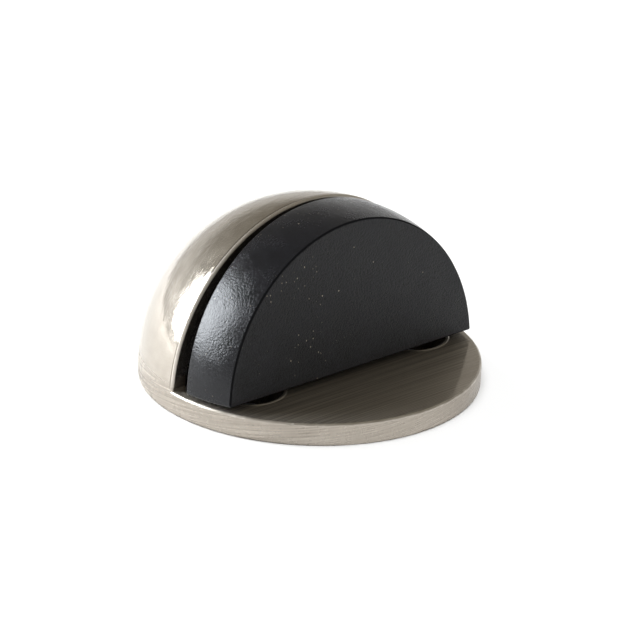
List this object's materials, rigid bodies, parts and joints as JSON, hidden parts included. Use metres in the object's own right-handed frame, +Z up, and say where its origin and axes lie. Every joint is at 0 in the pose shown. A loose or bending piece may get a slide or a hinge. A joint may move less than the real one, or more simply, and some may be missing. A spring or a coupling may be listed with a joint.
{
  "type": "door stop",
  "caption": "Half-dome floor door stop: a satin nickel cast quarter-ball shell on a round base plate, with a flat-faced black rubber buffer pushed onto pegs inside it.",
  "frame": {"origin": "centre of the round base, on the floor", "axes": "+Z up; -Y towards the door, out of the rubber's flat face; X along that face, and the door stop is symmetric across X = 0"},
  "size_m": [0.045, 0.045, 0.0242],
  "materials": {
    "satin_nickel": "satin nickel plate, brushed",
    "black_rubber": "matt, fine grain"
  },
  "bodies": {
    "casting": {"cast_body": "satin_nickel"},
    "buffer": {"rubber_buffer": "black_rubber"}
  },
  "joints": [
    {"name": "buffer_pull_off", "type": "slide", "parent": "casting", "child": "buffer", "axis": [0, -0.9977, 0.068], "range_m": [-0.0005, 0.025]}
  ]
}
